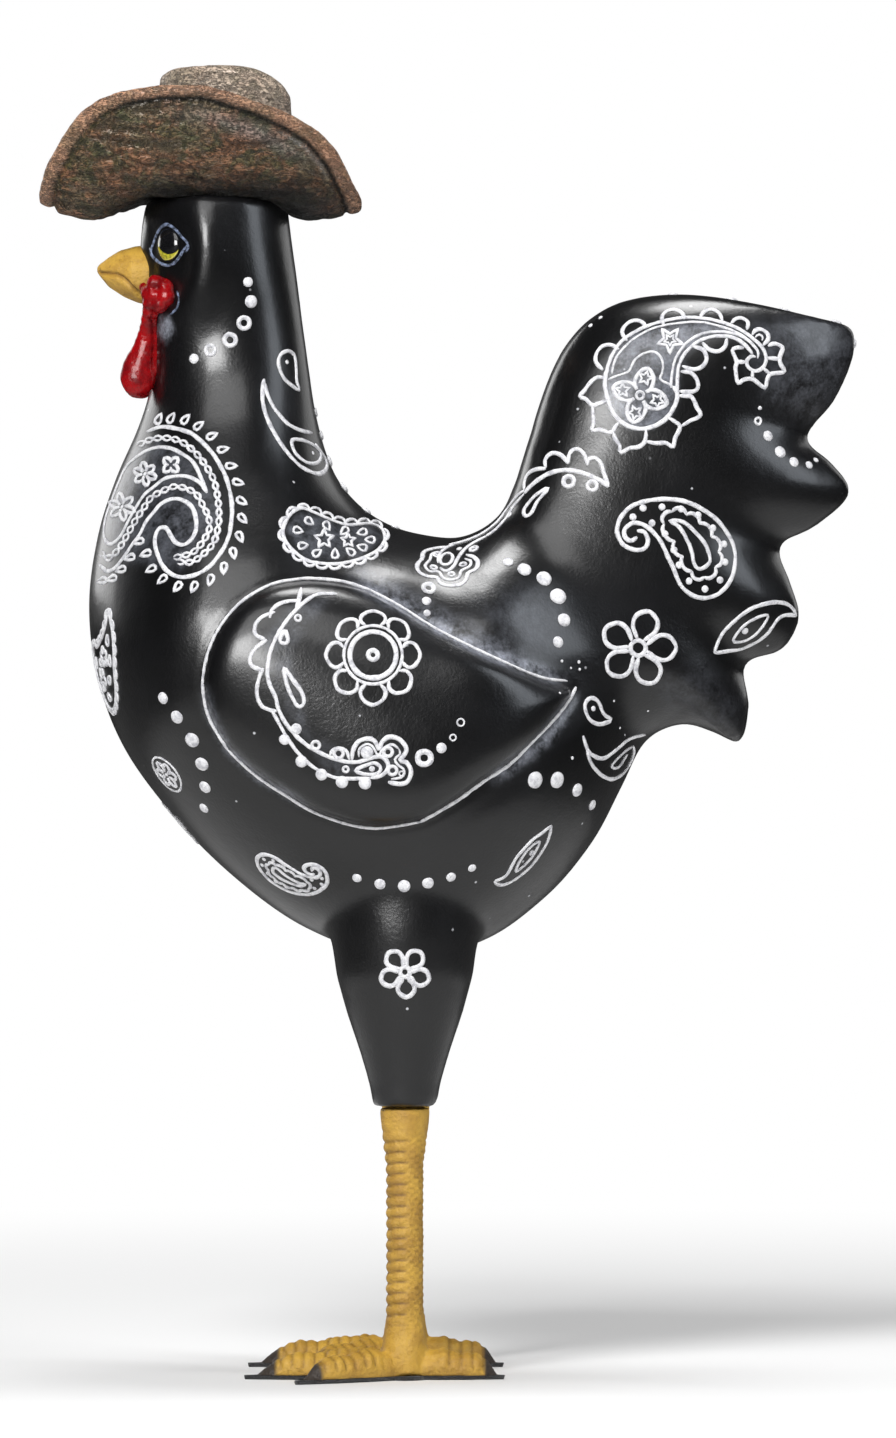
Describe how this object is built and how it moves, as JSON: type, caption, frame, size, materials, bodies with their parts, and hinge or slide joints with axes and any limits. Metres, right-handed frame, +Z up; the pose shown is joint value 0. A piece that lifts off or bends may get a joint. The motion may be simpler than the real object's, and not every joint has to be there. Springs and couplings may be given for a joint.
{
  "type": "rooster figurine",
  "caption": "Standing rooster figurine in cast resin with a curled-brim hat, raised wings, a fanned tail and white bandana line work on black.",
  "frame": {"origin": "on the ground, under the middle of the figurine's box", "axes": "+Z up, the rooster looks along -X, its tail points along +X and its left side faces -Y"},
  "size_m": [0.1901, 0.1012, 0.305],
  "materials": {
    "black_resin": "satin black paint with white line work",
    "brown_resin": "leather-brown paint with a dark wash",
    "yellow_resin": "satin mustard paint",
    "red_resin": "glossy red paint",
    "eye_gloss": "glossy painted bead",
    "steel": "plain wire rod",
    "felt": "felt"
  },
  "bodies": {
    "root": {"body_casting": "black_resin", "hat": "brown_resin", "beak": "yellow_resin", "left_wattle": "red_resin", "right_wattle": "red_resin", "left_eye": "eye_gloss", "right_eye": "eye_gloss", "left_leg": "yellow_resin", "right_leg": "yellow_resin", "left_leg_rod": "steel", "right_leg_rod": "steel", "left_foot_pad": "felt", "right_foot_pad": "felt"}
  },
  "joints": []
}
